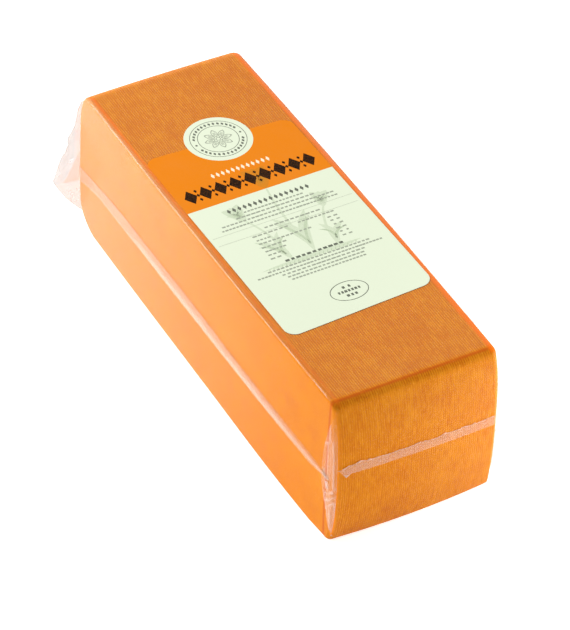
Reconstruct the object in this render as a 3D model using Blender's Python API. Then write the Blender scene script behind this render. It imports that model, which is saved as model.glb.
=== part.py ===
# A block of mimolette sealed in clear shrunk film, with a paper label on its top.
# Metres, +Z up, +Y along the block. The origin is at the middle of the flat base, and the front end is at -Y.

import math

import bpy
import bmesh
from mathutils import Vector

# The block. Width and length are those of its edges at half height, before the faces swell.
HEIGHT = 0.0980
WIDTH = 0.1020
LENGTH = 0.3000
WIDTH_DRAFT = 0.0020  # the base is this much wider than the top
LENGTH_DRAFT = 0.0032  # and this much longer
SIDE_SWELL = 0.0005  # how far each long side stands out, halfway up
SIDE_CROWN = 0.0011  # and how far it bows out along its length
SIDE_SWELL_POWER = 2.6  # a higher power keeps a face flatter in the middle
SIDE_FLARE = 0.0012  # how much further it stands out at the base
FLARE_PEAK, FLARE_REACH = 0.17, 0.24  # most of it here, as shares of the side from the front
FLARE_START = 0.06
FRONT_SWELL = 0.0053  # how far the front end stands out
FRONT_SWELL_SKEW = 0.0013  # added at its left edge and taken off at its right edge
FRONT_SWELL_POWER = 2.6
FRONT_SWELL_PEAK = 0.57  # height of its most swollen line, as a share of the block's height
FRONT_CROWN = 0.0024  # how far its base bows out across its width
BACK_SWELL = 0.0066  # the back end is flatter and fuller
BACK_SWELL_POWER = 6.0
BACK_SWELL_PEAK = 0.63
BACK_CROWN = 0.0009
SWELL_PEAK_SKEW = 0.09  # an end's most swollen line is this much lower at its left edge, higher at its right
SIDE_TOP_ROUND = 0.0020  # rounding where the long sides meet the top and the base
SIDE_BASE_ROUND = 0.0010
FRONT_TOP_ROUND = 0.0036  # and where the ends meet them
FRONT_BASE_ROUND = 0.0014
BACK_TOP_ROUND = 0.0050
BACK_BASE_ROUND = 0.0154
CORNER_ROUND = 0.0035  # rounding of the four upright corners

# The film's seam runs round the block and is folded flat. At the front corners it opens into a folded
# gusset, and at the back corners an ear of loose film stands off it.
FILM_GAP = 0.0004
FILM_THICK = 0.0006
SEAL_HEIGHT = 0.0491  # the line where the upper and the lower film are sealed together
SEAL_HUMP = 0.0014  # how much higher it runs in the middle of the long sides
HUMP_PEAK, HUMP_REACH = 0.55, 0.16
FIN_LOW = 0.0402  # the fin is folded down to this line on the long sides
FIN_SLOPE = 0.0018  # which sinks by this much towards the back
FRONT_NARROW = 0.0012  # and is this much higher where it meets a gusset
HIGH_DROP, HIGH_DROP_LENGTH = 0.0057, 0.0600  # both edges sink at the back corners
LOW_DROP, LOW_DROP_LENGTH = 0.0060, 0.0300
DROP_POWER = 1.4
BACK_RISE = 0.0025  # and this much higher across the ends
FRONT_RISE = 0.0036
FRONT_SLOPE = 0.0046  # less at the right edge of the front end
BACK_END_FIN = 0.0066  # where the fin is folded up
FRONT_END_FIN = 0.0062
RISE_WIDTH = 0.0200
FIN_TAPER = 0.20  # share of a long side over which the fin widens, from the front
GUSSET_TOP = 0.0940
GUSSET_BOTTOM = 0.0050
GUSSET_WIDTH = 0.0108  # along the long side, at its widest
GUSSET_FOLD = 0.0024  # how far it reaches round the corner, from the corner's middle
GUSSET_UPPER_POWER = 0.5  # below 1 fills the gusset's outline, above 1 makes it slimmer
GUSSET_LOWER_POWER = 1.2

# The ears: thin, wavy, pointed sheets.
EAR_TOP = 0.0905
EAR_BOTTOM = 0.0095
EAR_TIP_HEIGHT = 0.0358
EAR_REACH = 0.0178  # from the corner to the tip
EAR_EDGE = 0.0012  # width left at the top and the bottom end
UPPER_POWER = 1.3  # above 1 hollows the ear's outline, below 1 fills it
LOWER_POWER = 0.7
EAR_WAVE = 0.0010
EAR_WAVE_LENGTH = 0.0390
EAR_RUFFLE = 0.0008
EAR_RUFFLE_LENGTH = 0.0125

# The label: a rounded sheet with a round badge that stands half over its upper edge.
LABEL_WIDTH = 0.0930
LABEL_LENGTH = 0.1670
LABEL_MIDDLE = (0.0005, -0.0046)
LABEL_TURN = math.radians(0.7)
LABEL_LOW_SKEW = 0.042  # slant of its front edge
LABEL_HIGH_SKEW = -0.024  # and of its back edge
LABEL_CORNER = 0.0070
LABEL_THICK = 0.0004
LABEL_GAP = 0.0003
BADGE_RADIUS = 0.0200
BADGE_SHIFT = 0.0011  # to the right of the label's middle

# Stretches of the block's outline, anticlockwise from above.
RIGHT, BACK_RIGHT, BACK, BACK_LEFT, LEFT, FRONT_LEFT, FRONT, FRONT_RIGHT = range(8)
SIDE_FACES, END_FACES, CORNER_FACES = 10, 12, 6

# Faces of the block's rounded edges and walls, the film and the label.
EDGE_ROUND_FACES, TOP_ROUND_FACES, BASE_ROUND_FACES, WALL_FACES = 3, 5, 7, 10
FILM_ROWS, FILM_SIDE_FACES, GUSSET_FACES, GUSSET_FOLD_FACES = 10, 20, 12, 10
EAR_ROWS, EAR_COLUMNS = 32, 6
LABEL_CORNER_FACES, BADGE_FACES = 10, 40


def clear_scene():
    for obj in list(bpy.data.objects):
        bpy.data.objects.remove(obj)


def material(name, color, roughness, alpha=1.0):
    made = bpy.data.materials.new(name)
    made.use_nodes = True
    shader = made.node_tree.nodes["Principled BSDF"]
    shader.inputs["Base Color"].default_value = (*color, 1.0)
    shader.inputs["Roughness"].default_value = roughness
    shader.inputs["Metallic"].default_value = 0.0
    shader.inputs["Alpha"].default_value = alpha
    return made


def finish_mesh(name, shell, finish):
    """Turns a bmesh into an object that is smooth except at its sharp edges."""
    bmesh.ops.recalc_face_normals(shell, faces=shell.faces[:])
    data = bpy.data.meshes.new(name)
    shell.to_mesh(data)
    shell.free()
    data.shade_smooth()
    data.set_sharp_from_angle(angle=math.radians(40))
    data.materials.append(finish)
    obj = bpy.data.objects.new(name, data)
    bpy.context.scene.collection.objects.link(obj)
    return obj


def mix(low, high, share):
    return low + (high - low) * share


def smooth_step(share):
    share = max(0.0, min(1.0, share))
    return share * share * (3 - 2 * share)


def join_rings(shell, rings, closed=False):
    """Quads between neighbouring rings. When closed, the last ring is joined to the first too."""
    pairs = list(zip(rings, rings[1:]))
    if closed:
        pairs.append((rings[-1], rings[0]))
    for lower, upper in pairs:
        for i in range(len(lower)):
            after = (i + 1) % len(lower)
            shell.faces.new((lower[i], lower[after], upper[after], upper[i]))


def inset(z, base_radius, top_radius):
    """How far the rounded edges above and below pull a wall in at height z."""
    near = min(z, HEIGHT - z)
    radius = base_radius if z < HEIGHT / 2 else top_radius
    if near >= radius:
        return 0.0
    return radius - math.sqrt(max(0.0, radius**2 - (radius - near) ** 2))


def swell(z, peak, power):
    """From 0 at the base and the top to 1 at the height of the peak."""
    span = HEIGHT - peak if z > peak else peak
    return 1.0 - (abs(z - peak) / span) ** power


def half_width(z):
    draft = WIDTH_DRAFT * (0.5 - z / HEIGHT) / 2
    bulge = SIDE_SWELL * swell(z, HEIGHT / 2, SIDE_SWELL_POWER)
    return WIDTH / 2 + draft + bulge - inset(z, SIDE_BASE_ROUND, SIDE_TOP_ROUND)


def half_length(end, x, z):
    """Distance from the middle to an end face, at x across it. end is 1 at the back and -1 at the front."""
    across = max(-1.0, min(1.0, x / (WIDTH / 2)))
    draft = LENGTH_DRAFT * (0.5 - z / HEIGHT) / 2
    skew = SWELL_PEAK_SKEW * across
    crown = 1 - across**2
    if end > 0:
        swollen = swell(z, HEIGHT * (BACK_SWELL_PEAK + skew), BACK_SWELL_POWER)
        bulge = BACK_SWELL * swollen + BACK_CROWN * crown
        return LENGTH / 2 + draft + bulge - inset(z, BACK_BASE_ROUND, BACK_TOP_ROUND)
    swollen = swell(z, HEIGHT * (FRONT_SWELL_PEAK + skew), FRONT_SWELL_POWER)
    bulge = (FRONT_SWELL - FRONT_SWELL_SKEW * across) * swollen + FRONT_CROWN * crown * (1 - z / HEIGHT)
    return LENGTH / 2 + draft + bulge - inset(z, FRONT_BASE_ROUND, FRONT_TOP_ROUND)


def flare(along, z):
    """How far the film pulls the foot of a long side outwards. along is 0 at the front."""
    peak = math.exp(-(((along - FLARE_PEAK) / FLARE_REACH) ** 2)) * smooth_step(along / FLARE_START)
    return SIDE_FLARE * peak * max(0.0, 1 - 2 * z / HEIGHT) ** 2


def outline_point(stretch, share, z, offset=0.0):
    """A point on the block at height z, moved outwards by offset. share is from 0 to 1 along the stretch."""
    core = half_width(z) - CORNER_ROUND
    radius = CORNER_ROUND + offset
    if stretch in (RIGHT, LEFT):
        side = 1 if stretch == RIGHT else -1
        front = half_length(-1, side * core, z) - CORNER_ROUND
        back = half_length(1, side * core, z) - CORNER_ROUND
        y = mix(-front, back, share if stretch == RIGHT else 1 - share)
        bow = SIDE_CROWN * (1 - (2 * share - 1) ** 2) + flare(share if stretch == RIGHT else 1 - share, z)
        return Vector((side * (core + radius + bow), y, z))
    if stretch in (BACK, FRONT):
        end = 1 if stretch == BACK else -1
        x = end * mix(core, -core, share)
        return Vector((x, end * (half_length(end, x, z) + offset), z))
    side = 1 if stretch in (BACK_RIGHT, FRONT_RIGHT) else -1
    end = 1 if stretch in (BACK_RIGHT, BACK_LEFT) else -1
    quarter = {BACK_RIGHT: 0, BACK_LEFT: 1, FRONT_LEFT: 2, FRONT_RIGHT: 3}[stretch]
    turn = (quarter + share) * math.pi / 2
    middle_y = end * (half_length(end, side * core, z) - CORNER_ROUND)
    return Vector((side * core + radius * math.cos(turn), middle_y + radius * math.sin(turn), z))


def block_heights():
    """Heights of the block's rings, close together where the edges are round."""
    def arc(radius, faces):
        return [radius * (1 - math.cos(math.pi / 2 * i / faces)) for i in range(faces + 1)]

    low = sorted(set(arc(SIDE_BASE_ROUND, EDGE_ROUND_FACES) + arc(BACK_BASE_ROUND, BASE_ROUND_FACES)))
    high = arc(SIDE_TOP_ROUND, EDGE_ROUND_FACES) + arc(BACK_TOP_ROUND, TOP_ROUND_FACES)
    high = sorted(set(high), reverse=True)
    walls = [mix(low[-1], HEIGHT - high[0], i / WALL_FACES) for i in range(1, WALL_FACES)]
    return low + walls + [HEIGHT - z for z in high]


def make_block(finish):
    """Rings of the outline, stacked from the flat base to the flat top."""
    faces = {stretch: CORNER_FACES for stretch in range(8)}
    faces.update({RIGHT: SIDE_FACES, LEFT: SIDE_FACES, BACK: END_FACES, FRONT: END_FACES})
    shell = bmesh.new()
    rings = []
    for z in block_heights():
        places = [(stretch, i / faces[stretch]) for stretch in range(8) for i in range(faces[stretch])]
        rings.append([shell.verts.new(outline_point(stretch, share, z)) for stretch, share in places])
    join_rings(shell, rings)
    shell.faces.new(list(reversed(rings[0])))
    shell.faces.new(rings[-1])
    return finish_mesh("cheese_block", shell, finish)


def two_paces(turn, first_faces, last_faces):
    """Shares from 0 to 1, 1 left out, with first_faces before the share turn and last_faces after it."""
    first = [turn * i / first_faces for i in range(first_faces)]
    return first + [mix(turn, 1.0, i / last_faces) for i in range(last_faces)]


def film_stations():
    """(stretch, share) round the block, closer together where the film's edges bend."""
    shares = {stretch: two_paces(0.5, CORNER_FACES // 2, CORNER_FACES // 2) for stretch in range(8)}
    gusset = GUSSET_WIDTH / LENGTH
    shares[RIGHT] = two_paces(gusset, GUSSET_FACES, FILM_SIDE_FACES)
    shares[LEFT] = two_paces(1 - gusset, FILM_SIDE_FACES, GUSSET_FACES)
    shares[FRONT_LEFT] = two_paces(0.5, CORNER_FACES // 2, GUSSET_FOLD_FACES)
    shares[FRONT_RIGHT] = two_paces(0.5, GUSSET_FOLD_FACES, CORNER_FACES // 2)
    shares[BACK] = shares[FRONT] = two_paces(0.5, END_FACES // 2, END_FACES // 2)
    return [(stretch, share) for stretch in range(8) for share in shares[stretch]]


def film_edges(stretch, share):
    """Heights of the film's lower and upper edge at a station."""
    along = 1.0  # from the front to the back of a long side
    if stretch in (RIGHT, LEFT):
        along = share if stretch == RIGHT else 1 - share
    to_back = (1 - along) * LENGTH
    hump = SEAL_HUMP * math.exp(-(((along - HUMP_PEAK) / HUMP_REACH) ** 2))
    side_high = SEAL_HEIGHT + hump - HIGH_DROP * max(0.0, 1 - to_back / HIGH_DROP_LENGTH) ** DROP_POWER
    side_low = FIN_LOW - FIN_SLOPE * along + FRONT_NARROW * (1 - smooth_step(along / FIN_TAPER))
    side_low -= LOW_DROP * max(0.0, 1 - to_back / LOW_DROP_LENGTH) ** DROP_POWER
    from_corner = min(share, 1 - share) * WIDTH
    if stretch in (BACK_RIGHT, BACK_LEFT):
        return side_low, side_high
    if stretch == BACK:
        rise = smooth_step(from_corner / RISE_WIDTH)
        end_low = SEAL_HEIGHT + BACK_RISE
        return mix(side_low, end_low, rise), mix(side_high, end_low + BACK_END_FIN, rise)
    if stretch in (RIGHT, LEFT):
        near = 1 - min(1.0, along * LENGTH / GUSSET_WIDTH)
        low = mix(side_low, GUSSET_BOTTOM, near**GUSSET_LOWER_POWER)
        return low, mix(side_high, GUSSET_TOP, near**GUSSET_UPPER_POWER)
    across = {FRONT_LEFT: 0.0, FRONT: share, FRONT_RIGHT: 1.0}[stretch]
    past_middle = {FRONT_LEFT: share - 0.5, FRONT: 1.0, FRONT_RIGHT: 0.5 - share}[stretch]
    past_middle *= CORNER_ROUND * math.pi / 2
    near = max(0.0, min(1.0, 1 - past_middle / GUSSET_FOLD)) ** GUSSET_UPPER_POWER
    end_low = SEAL_HEIGHT + FRONT_RISE - FRONT_SLOPE * across
    return mix(end_low, GUSSET_BOTTOM, near), mix(end_low + FRONT_END_FIN, GUSSET_TOP, near)


def make_film_seam(finish):
    """The seam and its gussets as one closed band that follows the block."""
    shell = bmesh.new()
    sections = []
    for stretch, share in film_stations():
        low, high = film_edges(stretch, share)
        heights = [mix(low, high, i / FILM_ROWS) for i in range(FILM_ROWS + 1)]
        inner = [outline_point(stretch, share, z, FILM_GAP) for z in heights]
        outer = [outline_point(stretch, share, z, FILM_GAP + FILM_THICK) for z in reversed(heights)]
        sections.append([shell.verts.new(point) for point in inner + outer])
    join_rings(shell, sections, closed=True)
    return finish_mesh("film_seam", shell, finish)


def ear_reach(z, uneven):
    """How far the ear stands off its corner at height z. Its upper edge is ruffled."""
    if z < EAR_TIP_HEIGHT:
        return EAR_REACH * max(0.0, (z - EAR_BOTTOM) / (EAR_TIP_HEIGHT - EAR_BOTTOM)) ** LOWER_POWER
    share = max(0.0, (EAR_TOP - z) / (EAR_TOP - EAR_TIP_HEIGHT))
    ruffle = EAR_RUFFLE * math.sin(math.tau * z / EAR_RUFFLE_LENGTH + uneven) * math.sin(math.pi * share)
    return EAR_REACH * share**UPPER_POWER + ruffle


def make_film_ear(side, finish):
    """A loose corner of the film. side is -1 on the left and 1 on the right."""
    stretch = BACK_LEFT if side < 0 else BACK_RIGHT
    root_offset = FILM_GAP + FILM_THICK + FILM_GAP + FILM_THICK / 2  # the sheet's middle, clear of the seam
    faces = {"front": [], "back": []}
    shell = bmesh.new()
    for face, away in (("front", -0.5), ("back", 0.5)):
        for i in range(EAR_ROWS + 1):
            z = mix(EAR_BOTTOM, EAR_TOP, i / EAR_ROWS)
            root = outline_point(stretch, 0.5, z, root_offset)
            reach = max(EAR_EDGE, ear_reach(z, side))
            row = []
            for j in range(EAR_COLUMNS + 1):
                out = j / EAR_COLUMNS
                wave = EAR_WAVE * out**2 * math.sin(math.tau * z / EAR_WAVE_LENGTH + side)
                y = root.y + wave + away * FILM_THICK
                row.append(shell.verts.new((root.x + side * reach * out, y, z)))
            faces[face].append(row)
    rings = [front + list(reversed(back)) for front, back in zip(faces["front"], faces["back"])]
    join_rings(shell, rings)
    for front, back in ((faces["front"][0], faces["back"][0]), (faces["front"][-1], faces["back"][-1])):
        for j in range(EAR_COLUMNS):
            shell.faces.new((front[j], front[j + 1], back[j + 1], back[j]))
    return finish_mesh("film_ear_left" if side < 0 else "film_ear_right", shell, finish)


def label_outline():
    """The label from above, anticlockwise, about its own middle."""
    in_w = LABEL_WIDTH / 2 - LABEL_CORNER
    in_l = LABEL_LENGTH / 2 - LABEL_CORNER
    arcs = (
        (-in_w, -in_l, LABEL_CORNER, 180, 270, LABEL_CORNER_FACES, LABEL_LOW_SKEW),
        (in_w, -in_l, LABEL_CORNER, 270, 360, LABEL_CORNER_FACES, LABEL_LOW_SKEW),
        (in_w, in_l, LABEL_CORNER, 0, 90, LABEL_CORNER_FACES, LABEL_HIGH_SKEW),
        (BADGE_SHIFT, LABEL_LENGTH / 2, BADGE_RADIUS, 0, 180, BADGE_FACES, 0.0),
        (-in_w, in_l, LABEL_CORNER, 90, 180, LABEL_CORNER_FACES, LABEL_HIGH_SKEW),
    )
    points = []
    for middle, y, radius, start, stop, faces, skew in arcs:
        for i in range(faces + 1):
            turn = math.radians(mix(start, stop, i / faces))
            x = middle + radius * math.cos(turn)
            points.append((x, y + radius * math.sin(turn) + skew * x))
    return points


def make_label(finish):
    """A sheet of even thickness that lies just above the block's flat top."""
    shell = bmesh.new()
    faces = [[shell.verts.new((x, y, z)) for x, y in label_outline()] for z in (0, LABEL_THICK)]
    join_rings(shell, faces)
    shell.faces.new(list(reversed(faces[0])))
    shell.faces.new(faces[1])
    label = finish_mesh("label", shell, finish)
    label.location = (*LABEL_MIDDLE, HEIGHT + LABEL_GAP)
    label.rotation_euler = (0, 0, LABEL_TURN)
    return label


def main():
    clear_scene()
    make_block(material("cheese", (0.86, 0.33, 0.06), 0.45))
    film = material("clear_film", (0.90, 0.88, 0.86), 0.20, alpha=0.35)
    make_film_seam(film)
    make_film_ear(-1, film)
    make_film_ear(1, film)
    make_label(material("printed_label", (0.84, 0.90, 0.72), 0.50))


main()
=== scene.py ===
import math

import bmesh
import bpy
from mathutils import Matrix, Vector, noise


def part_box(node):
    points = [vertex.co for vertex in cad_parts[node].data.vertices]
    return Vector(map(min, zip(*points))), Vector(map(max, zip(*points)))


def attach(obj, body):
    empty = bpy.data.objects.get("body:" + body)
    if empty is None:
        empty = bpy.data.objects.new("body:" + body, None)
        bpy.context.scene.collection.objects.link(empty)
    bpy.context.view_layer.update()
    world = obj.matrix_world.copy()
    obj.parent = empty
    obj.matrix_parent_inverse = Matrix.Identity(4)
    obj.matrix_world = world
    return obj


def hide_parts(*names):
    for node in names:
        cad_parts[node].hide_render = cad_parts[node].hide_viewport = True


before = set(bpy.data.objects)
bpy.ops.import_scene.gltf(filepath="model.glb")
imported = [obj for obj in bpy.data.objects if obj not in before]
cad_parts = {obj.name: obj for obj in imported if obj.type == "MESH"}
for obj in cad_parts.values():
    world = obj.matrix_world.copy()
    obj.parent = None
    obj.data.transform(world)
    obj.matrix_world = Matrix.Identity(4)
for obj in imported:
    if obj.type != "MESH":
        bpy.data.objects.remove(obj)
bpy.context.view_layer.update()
print("frame loaded")


def mix(low, high, share):
    return low + (high - low) * share


def clamp(value, low=0.0, high=1.0):
    return max(low, min(high, value))


def smooth(value):
    value = clamp(value)
    return value * value * (3 - 2 * value)


class Wire:  # one node output, so that node maths reads as Python
    def __init__(self, bench, socket):
        self.bench = bench
        self.socket = socket

    def maths(self, operation, first, second):
        return self.bench.add("ShaderNodeMath", {"operation": operation}, {0: first, 1: second})

    def __add__(self, other):
        return self.maths("ADD", self, other)

    def __radd__(self, other):
        return self.maths("ADD", other, self)

    def __sub__(self, other):
        return self.maths("SUBTRACT", self, other)

    def __rsub__(self, other):
        return self.maths("SUBTRACT", other, self)

    def __mul__(self, other):
        return self.maths("MULTIPLY", self, other)

    def __rmul__(self, other):
        return self.maths("MULTIPLY", other, self)

    def __truediv__(self, other):
        return self.maths("DIVIDE", self, other)


class Bench:  # adds nodes to one tree
    def __init__(self, tree):
        self.tree = tree

    def plug(self, socket, value):
        if isinstance(value, Wire):
            self.tree.links.new(value.socket, socket)
        else:
            socket.default_value = value

    def add(self, kind, settings=None, sockets=None, output=0):
        node = self.tree.nodes.new(kind)
        for name, value in (settings or {}).items():
            setattr(node, name, value)
        for key, value in (sockets or {}).items():
            self.plug(node.inputs[key], value)
        return Wire(self, node.outputs[output])

    def function(self, operation, value):
        return self.add("ShaderNodeMath", {"operation": operation}, {0: value})

    def step(self, value, low, high):  # a soft step from 0 at low to 1 at high
        sockets = {"Value": value, "From Min": low, "From Max": high}
        return self.add("ShaderNodeMapRange", {"interpolation_type": "SMOOTHSTEP"}, sockets)

    def colours(self, share, first, second):
        settings = {"data_type": "RGBA", "clamp_factor": True}
        return self.add("ShaderNodeMix", settings, {0: share, 6: first, 7: second}, 2)

    def noise(self, vector, scale, detail=2.0, roughness=0.5):
        sockets = {"Vector": vector, "Scale": scale, "Detail": detail, "Roughness": roughness}
        return self.add("ShaderNodeTexNoise", None, sockets)


def linear(red, green, blue):  # a colour as read off a screen, 0 to 255, for a shader socket
    def decode(value):
        value /= 255
        return value / 12.92 if value <= 0.04045 else ((value + 0.055) / 1.055) ** 2.4

    return (decode(red), decode(green), decode(blue), 1.0)


def newMaterial(name, sockets):  # a material, its bench and its shader, with the constant sockets set
    material = bpy.data.materials.new(name)
    material.use_nodes = True
    shader = material.node_tree.nodes["Principled BSDF"]
    for key, value in sockets.items():
        shader.inputs[key].default_value = value
    return material, Bench(material.node_tree), shader


def newPiece(name, points, faces, material, smoothShaded=True):
    mesh = bpy.data.meshes.new(name)
    mesh.from_pydata([tuple(point) for point in points], [], faces)
    mesh.materials.append(material)
    if smoothShaded:
        mesh.shade_smooth()
    piece = bpy.data.objects.new(name, mesh)
    bpy.context.scene.collection.objects.link(piece)
    return piece


def faceOutward(piece):
    shell = bmesh.new()
    shell.from_mesh(piece.data)
    bmesh.ops.recalc_face_normals(shell, faces=shell.faces[:])
    shell.to_mesh(piece.data)
    shell.free()


def pointValues(piece, name, values):
    attribute = piece.data.attributes.new(name, "FLOAT", "POINT")
    attribute.data.foreach_set("value", values)


def newGeometryTree(name, inputs):  # a geometry tree with named inputs, and the wires of those inputs
    tree = bpy.data.node_groups.new(name, "GeometryNodeTree")
    for title, kind in inputs.items():
        tree.interface.new_socket(title, in_out="INPUT", socket_type=kind)
    tree.interface.new_socket("Geometry", in_out="OUTPUT", socket_type="NodeSocketGeometry")
    bench = Bench(tree)
    start = tree.nodes.new("NodeGroupInput")
    wires = {title: Wire(bench, start.outputs[title]) for title in inputs}
    return tree, bench, wires


def endTree(bench, geometry, material):
    real = bench.add("GeometryNodeRealizeInstances", None, {"Geometry": geometry})
    done = bench.add("GeometryNodeSetMaterial", None, {"Geometry": real, "Material": material})
    finish = bench.tree.nodes.new("NodeGroupOutput")
    bench.plug(finish.inputs["Geometry"], done)


def runTree(piece, tree, values):  # puts the tree on the piece and keeps the result as its plain mesh
    modifier = piece.modifiers.new(tree.name, "NODES")
    modifier.node_group = tree
    for item in tree.interface.items_tree:
        if item.item_type == "SOCKET" and item.in_out == "INPUT" and item.name in values:
            modifier[item.identifier] = values[item.name]
    graph = bpy.context.evaluated_depsgraph_get()
    result = bpy.data.meshes.new_from_object(piece.evaluated_get(graph))
    piece.modifiers.remove(modifier)
    piece.data = result
    return result


def finishPiece(piece, slot, *nodes):
    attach(piece, "root")
    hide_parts(*nodes)
    print(piece.name, "made,", len(piece.data.polygons), "faces")


def gridFaces(rows, columns, start=0, wrap=False):  # quads of a grid whose points run row by row
    faces = []
    for j in range(rows - 1):
        for i in range(columns if wrap else columns - 1):
            after = (i + 1) % columns
            low, high = start + j * columns, start + (j + 1) * columns
            faces.append((low + i, low + after, high + after, high + i))
    return faces


def sheetPiece(name, outer, inner, material, values):
    # A closed thin sheet from two grids of points, with the values of each grid point on both of its sides.
    rows, columns = len(outer), len(outer[0])
    count = rows * columns
    points = [point for grid in (outer, inner) for row in grid for point in row]
    faces = gridFaces(rows, columns) + [face[::-1] for face in gridFaces(rows, columns, count)]
    rim = [i for i in range(columns)]
    rim += [j * columns + columns - 1 for j in range(1, rows)]
    rim += [(rows - 1) * columns + i for i in range(columns - 2, -1, -1)]
    rim += [j * columns for j in range(rows - 2, 0, -1)]
    for here, after in zip(rim, rim[1:] + rim[:1]):
        faces.append((here, here + count, after + count, after))
    piece = newPiece(name, points, faces, material)
    faceOutward(piece)
    for title, grid in values.items():
        flat = [value for row in grid for value in row]
        pointValues(piece, title, flat + flat)
    return piece


class Sheet:  # the rows of a thin closed sheet, with the film's milk and warmth at each point
    def __init__(self):
        self.grids = ([], [], [], [])

    def addRow(self):
        for grid in self.grids:
            grid.append([])

    def add(self, *values):  # outer point, inner point, milk, warmth
        for grid, value in zip(self.grids, values):
            grid[-1].append(value)

    def addOnBlock(self, spot, z, rise, milk, warmth):  # film that stands up from the block by rise
        inner = onBlock(*spot, z, seam["gap"])
        self.add(onBlock(*spot, z, seam["gap"] + seam["thick"] + max(0, rise)), inner, milk, warmth)

    def piece(self, name, material):
        outer, inner, milks, warmths = self.grids
        return sheetPiece(name, outer, inner, material, {"milk": milks, "warmth": warmths})


def nearLine(place, start, end, width):  # 1 on the line from start to end, falling to 0 at about width from it
    along = end - start
    share = clamp((place - start).dot(along) / along.length_squared)
    return math.exp(-(((place - start - along * share).length / width) ** 2) * 2)


# The block's surface. Every other piece is laid on it, so these follow the frame.
block = {
    "height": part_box("cheese_block")[1].z,
    "width": 0.1020,
    "length": 0.3000,
    "widthDraft": 0.0020,  # how much wider the base is than the top
    "lengthDraft": 0.0032,
    "sideSwell": 0.0005,
    "sideCrown": 0.0011,
    "sideSwellPower": 2.6,
    "sideFlare": 0.0012,  # at the base, mostly near the front
    "flarePeak": 0.17,
    "flareReach": 0.24,
    "flareStart": 0.06,
    "frontSwell": 0.0053,
    "frontSwellSkew": 0.0013,
    "frontSwellPower": 2.6,
    "frontSwellPeak": 0.57,
    "frontCrown": 0.0024,
    "backSwell": 0.0066,
    "backSwellPower": 6.0,
    "backSwellPeak": 0.63,
    "backCrown": 0.0009,
    "swellPeakSkew": 0.09,
    "sideTopRound": 0.0020,
    "sideBaseRound": 0.0010,
    "frontTopRound": 0.0036,
    "frontBaseRound": 0.0014,
    "backTopRound": 0.0050,
    "backBaseRound": 0.0154,
    "cornerRound": 0.0035,
}

right, backRight, back, backLeft, left, frontLeft, front, frontRight = range(8)  # anticlockwise from above
cornerTurns = {backRight: 0, backLeft: 1, frontLeft: 2, frontRight: 3}


def inset(z, baseRadius, topRadius):
    near = min(z, block["height"] - z)
    radius = baseRadius if z < block["height"] / 2 else topRadius
    if near >= radius:
        return 0.0
    return radius - math.sqrt(max(0.0, radius**2 - (radius - near) ** 2))


def swell(z, peak, power):
    span = block["height"] - peak if z > peak else peak
    return 1.0 - (abs(z - peak) / span) ** power


def halfWidth(z):
    draft = block["widthDraft"] * (0.5 - z / block["height"]) / 2
    bulge = block["sideSwell"] * swell(z, block["height"] / 2, block["sideSwellPower"])
    return block["width"] / 2 + draft + bulge - inset(z, block["sideBaseRound"], block["sideTopRound"])


def halfLength(end, x, z):
    across = clamp(x / (block["width"] / 2), -1.0, 1.0)
    draft = block["lengthDraft"] * (0.5 - z / block["height"]) / 2
    skew = block["swellPeakSkew"] * across
    crown = 1 - across**2
    if end > 0:
        swollen = swell(z, block["height"] * (block["backSwellPeak"] + skew), block["backSwellPower"])
        bulge = block["backSwell"] * swollen + block["backCrown"] * crown
        return block["length"] / 2 + draft + bulge - inset(z, block["backBaseRound"], block["backTopRound"])
    swollen = swell(z, block["height"] * (block["frontSwellPeak"] + skew), block["frontSwellPower"])
    bulge = (block["frontSwell"] - block["frontSwellSkew"] * across) * swollen
    bulge += block["frontCrown"] * crown * (1 - z / block["height"])
    return block["length"] / 2 + draft + bulge - inset(z, block["frontBaseRound"], block["frontTopRound"])


def sideBow(along, z):  # how far a long side bows out, along being 0 at the front
    peak = math.exp(-(((along - block["flarePeak"]) / block["flareReach"]) ** 2))
    peak *= smooth(along / block["flareStart"])
    flare = block["sideFlare"] * peak * max(0.0, 1 - 2 * z / block["height"]) ** 2
    return block["sideCrown"] * (1 - (2 * along - 1) ** 2) + flare


def onBlock(stretch, share, z, offset=0.0):  # a point on the block's wall, moved outwards by offset
    core = halfWidth(z) - block["cornerRound"]
    radius = block["cornerRound"] + offset
    if stretch in (right, left):
        side = 1 if stretch == right else -1
        frontY = halfLength(-1, side * core, z) - block["cornerRound"]
        backY = halfLength(1, side * core, z) - block["cornerRound"]
        y = mix(-frontY, backY, share if stretch == right else 1 - share)
        return Vector((side * (core + radius + sideBow(share if stretch == right else 1 - share, z)), y, z))
    if stretch in (back, front):
        end = 1 if stretch == back else -1
        x = end * mix(core, -core, share)
        return Vector((x, end * (halfLength(end, x, z) + offset), z))
    side = 1 if stretch in (backRight, frontRight) else -1
    end = 1 if stretch in (backRight, backLeft) else -1
    turn = (cornerTurns[stretch] + share) * math.pi / 2
    middleY = end * (halfLength(end, side * core, z) - block["cornerRound"])
    return Vector((side * core + radius * math.cos(turn), middleY + radius * math.sin(turn), z))


def ringHeights(rows):  # close together where the edges are round
    def arc(radius, faces):
        return [radius * (1 - math.cos(math.pi / 2 * i / faces)) for i in range(faces + 1)]

    low = sorted(set(arc(block["sideBaseRound"], 4) + arc(block["backBaseRound"], 9)))
    high = sorted(set(arc(block["sideTopRound"], 4) + arc(block["backTopRound"], 6)), reverse=True)
    walls = [mix(low[-1], block["height"] - high[0], i / rows) for i in range(1, rows)]
    return low + walls + [block["height"] - z for z in high]


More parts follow.
